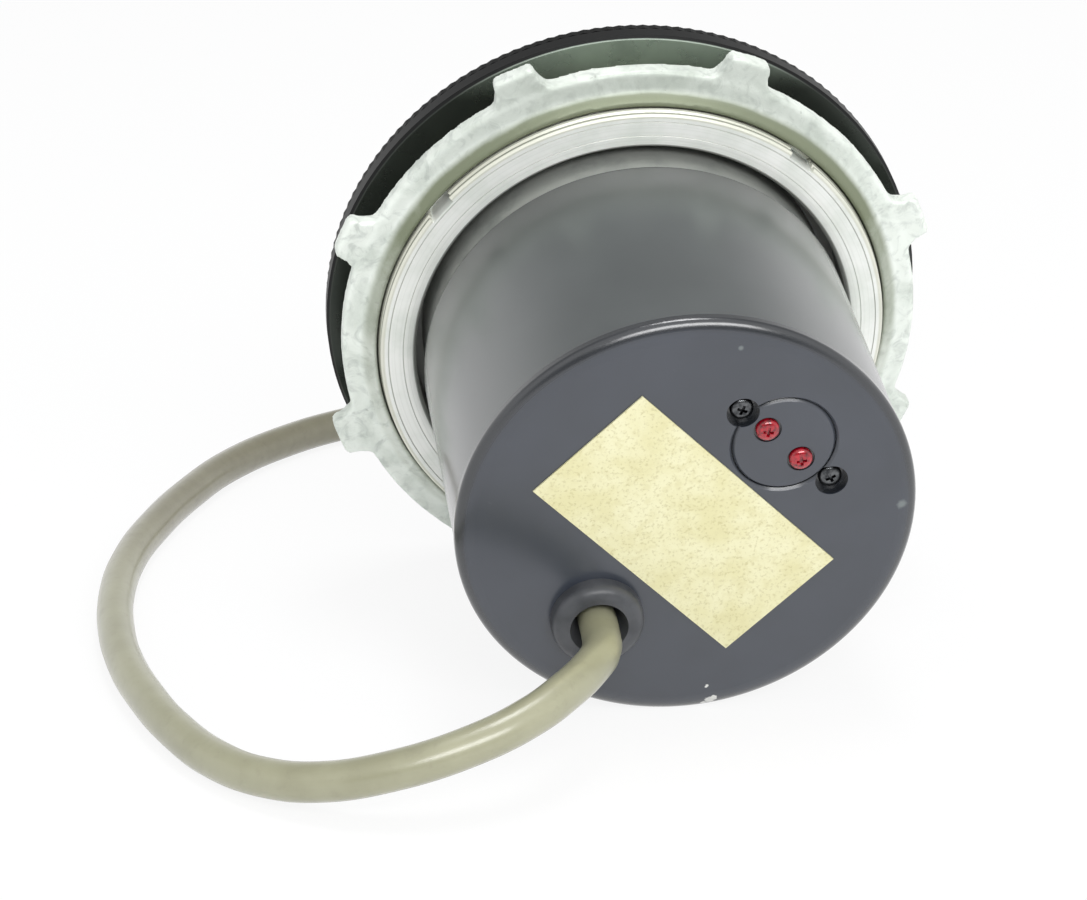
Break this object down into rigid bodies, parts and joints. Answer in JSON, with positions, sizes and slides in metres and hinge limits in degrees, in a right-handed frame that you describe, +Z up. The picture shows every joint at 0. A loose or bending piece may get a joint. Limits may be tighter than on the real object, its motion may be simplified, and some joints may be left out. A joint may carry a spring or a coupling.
{
  "type": "pulse generator handwheel",
  "caption": "Manual pulse generator for a machine control panel: dial handwheel with crank knob, round flange, threaded collar with lugged lock nut, and an encoder can with its cable.",
  "frame": {"origin": "bottom centre of the part without its free cable, on the surface it lies on", "axes": "+Z up, +Y towards the handwheel side, +X to the right seen from the rear cover; the shaft axis leans 13.52 degrees, handwheel end up"},
  "size_m": [0.1729, 0.3119, 0.1058],
  "materials": {
    "black_anodised": "satin",
    "black_steel": "satin",
    "bright_collar": "machined",
    "zinc_casting": "cast",
    "bare_housing": "machined",
    "slate_paint": "semi-gloss",
    "red_lacquer": "gloss",
    "plate_foil": "satin",
    "dark_rubber": "satin",
    "bearing_steel": "ground",
    "brass": "machined",
    "black_plastic": "moulded",
    "board": "satin",
    "terminal_green": "moulded",
    "cable_sheath": "semi-gloss",
    "plug_metal": "nickel"
  },
  "bodies": {
    "body": {"front_flange": "black_anodised", "threaded_collar": "bright_collar", "lock_nut": "zinc_casting", "bearing_housing": "bare_housing", "body_can": "slate_paint", "rear_cover": "slate_paint", "adjusting_disc": "slate_paint", "disc_clamp_screws": "black_steel", "sealed_screws": "red_lacquer", "data_plate": "plate_foil", "cable_grommet": "dark_rubber", "flange_screws": "black_steel", "outer_races": "bearing_steel", "retaining_rings": "bearing_steel", "shaft_seal": "dark_rubber", "cover_seal": "dark_rubber", "detent_block": "brass", "detent_spring": "bearing_steel", "spring_plug": "brass", "light_gates": "black_plastic", "circuit_board": "board", "board_parts": "black_plastic", "board_pillars": "brass", "board_screws": "bearing_steel", "terminal_strip": "terminal_green", "cable_clamp": "black_plastic", "cable_inner": "cable_sheath", "cable": "cable_sheath", "cable_coil": "cable_sheath", "cable_tie": "black_plastic", "cable_tail": "cable_sheath", "plug_shell": "plug_metal"},
    "wheel": {"handwheel": "black_anodised", "hub_cap": "bearing_steel", "wheel_grub_screws": "black_steel", "main_shaft": "bearing_steel", "inner_races": "bearing_steel", "bearing_spacer": "bearing_steel", "detent_wheel": "bearing_steel", "code_disc": "bearing_steel", "code_hub": "brass", "hub_grub_screw": "black_steel", "crank_spindle": "bearing_steel"},
    "ball_sets": {"bearing_balls": "bearing_steel"},
    "knob": {"crank_knob": "black_plastic"},
    "plunger": {"detent_plunger": "bearing_steel"},
    "plug_nut": {"plug_ring": "plug_metal"}
  },
  "joints": [
    {"name": "wheel_spin", "type": "hinge", "parent": "body", "child": "wheel", "pos_m": [0, 0.01483, 0.05306], "axis": [0, 0.9723, 0.2338], "continuous": true},
    {"name": "ball_orbit", "type": "hinge", "parent": "body", "child": "ball_sets", "pos_m": [0, 0.01483, 0.05306], "axis": [0, 0.9723, 0.2338], "continuous": true},
    {"name": "knob_spin", "type": "hinge", "parent": "wheel", "child": "knob", "pos_m": [0, 0.04732, 0.02487], "axis": [0, 0.9723, 0.2338], "continuous": true},
    {"name": "detent_lift", "type": "slide", "parent": "body", "child": "plunger", "axis": [-1, 0, 0], "range_m": [0, 0.0005], "stiffness_N_per_m": 300},
    {"name": "plug_nut_turn", "type": "hinge", "parent": "body", "child": "plug_nut", "pos_m": [0.0684, 0.22269, 0.008], "axis": [0.1833, 0.9831, 0], "continuous": true}
  ],
  "couplings": [
    {"joint": "ball_orbit", "follows": "wheel_spin", "ratio": 0.3833}
  ]
}
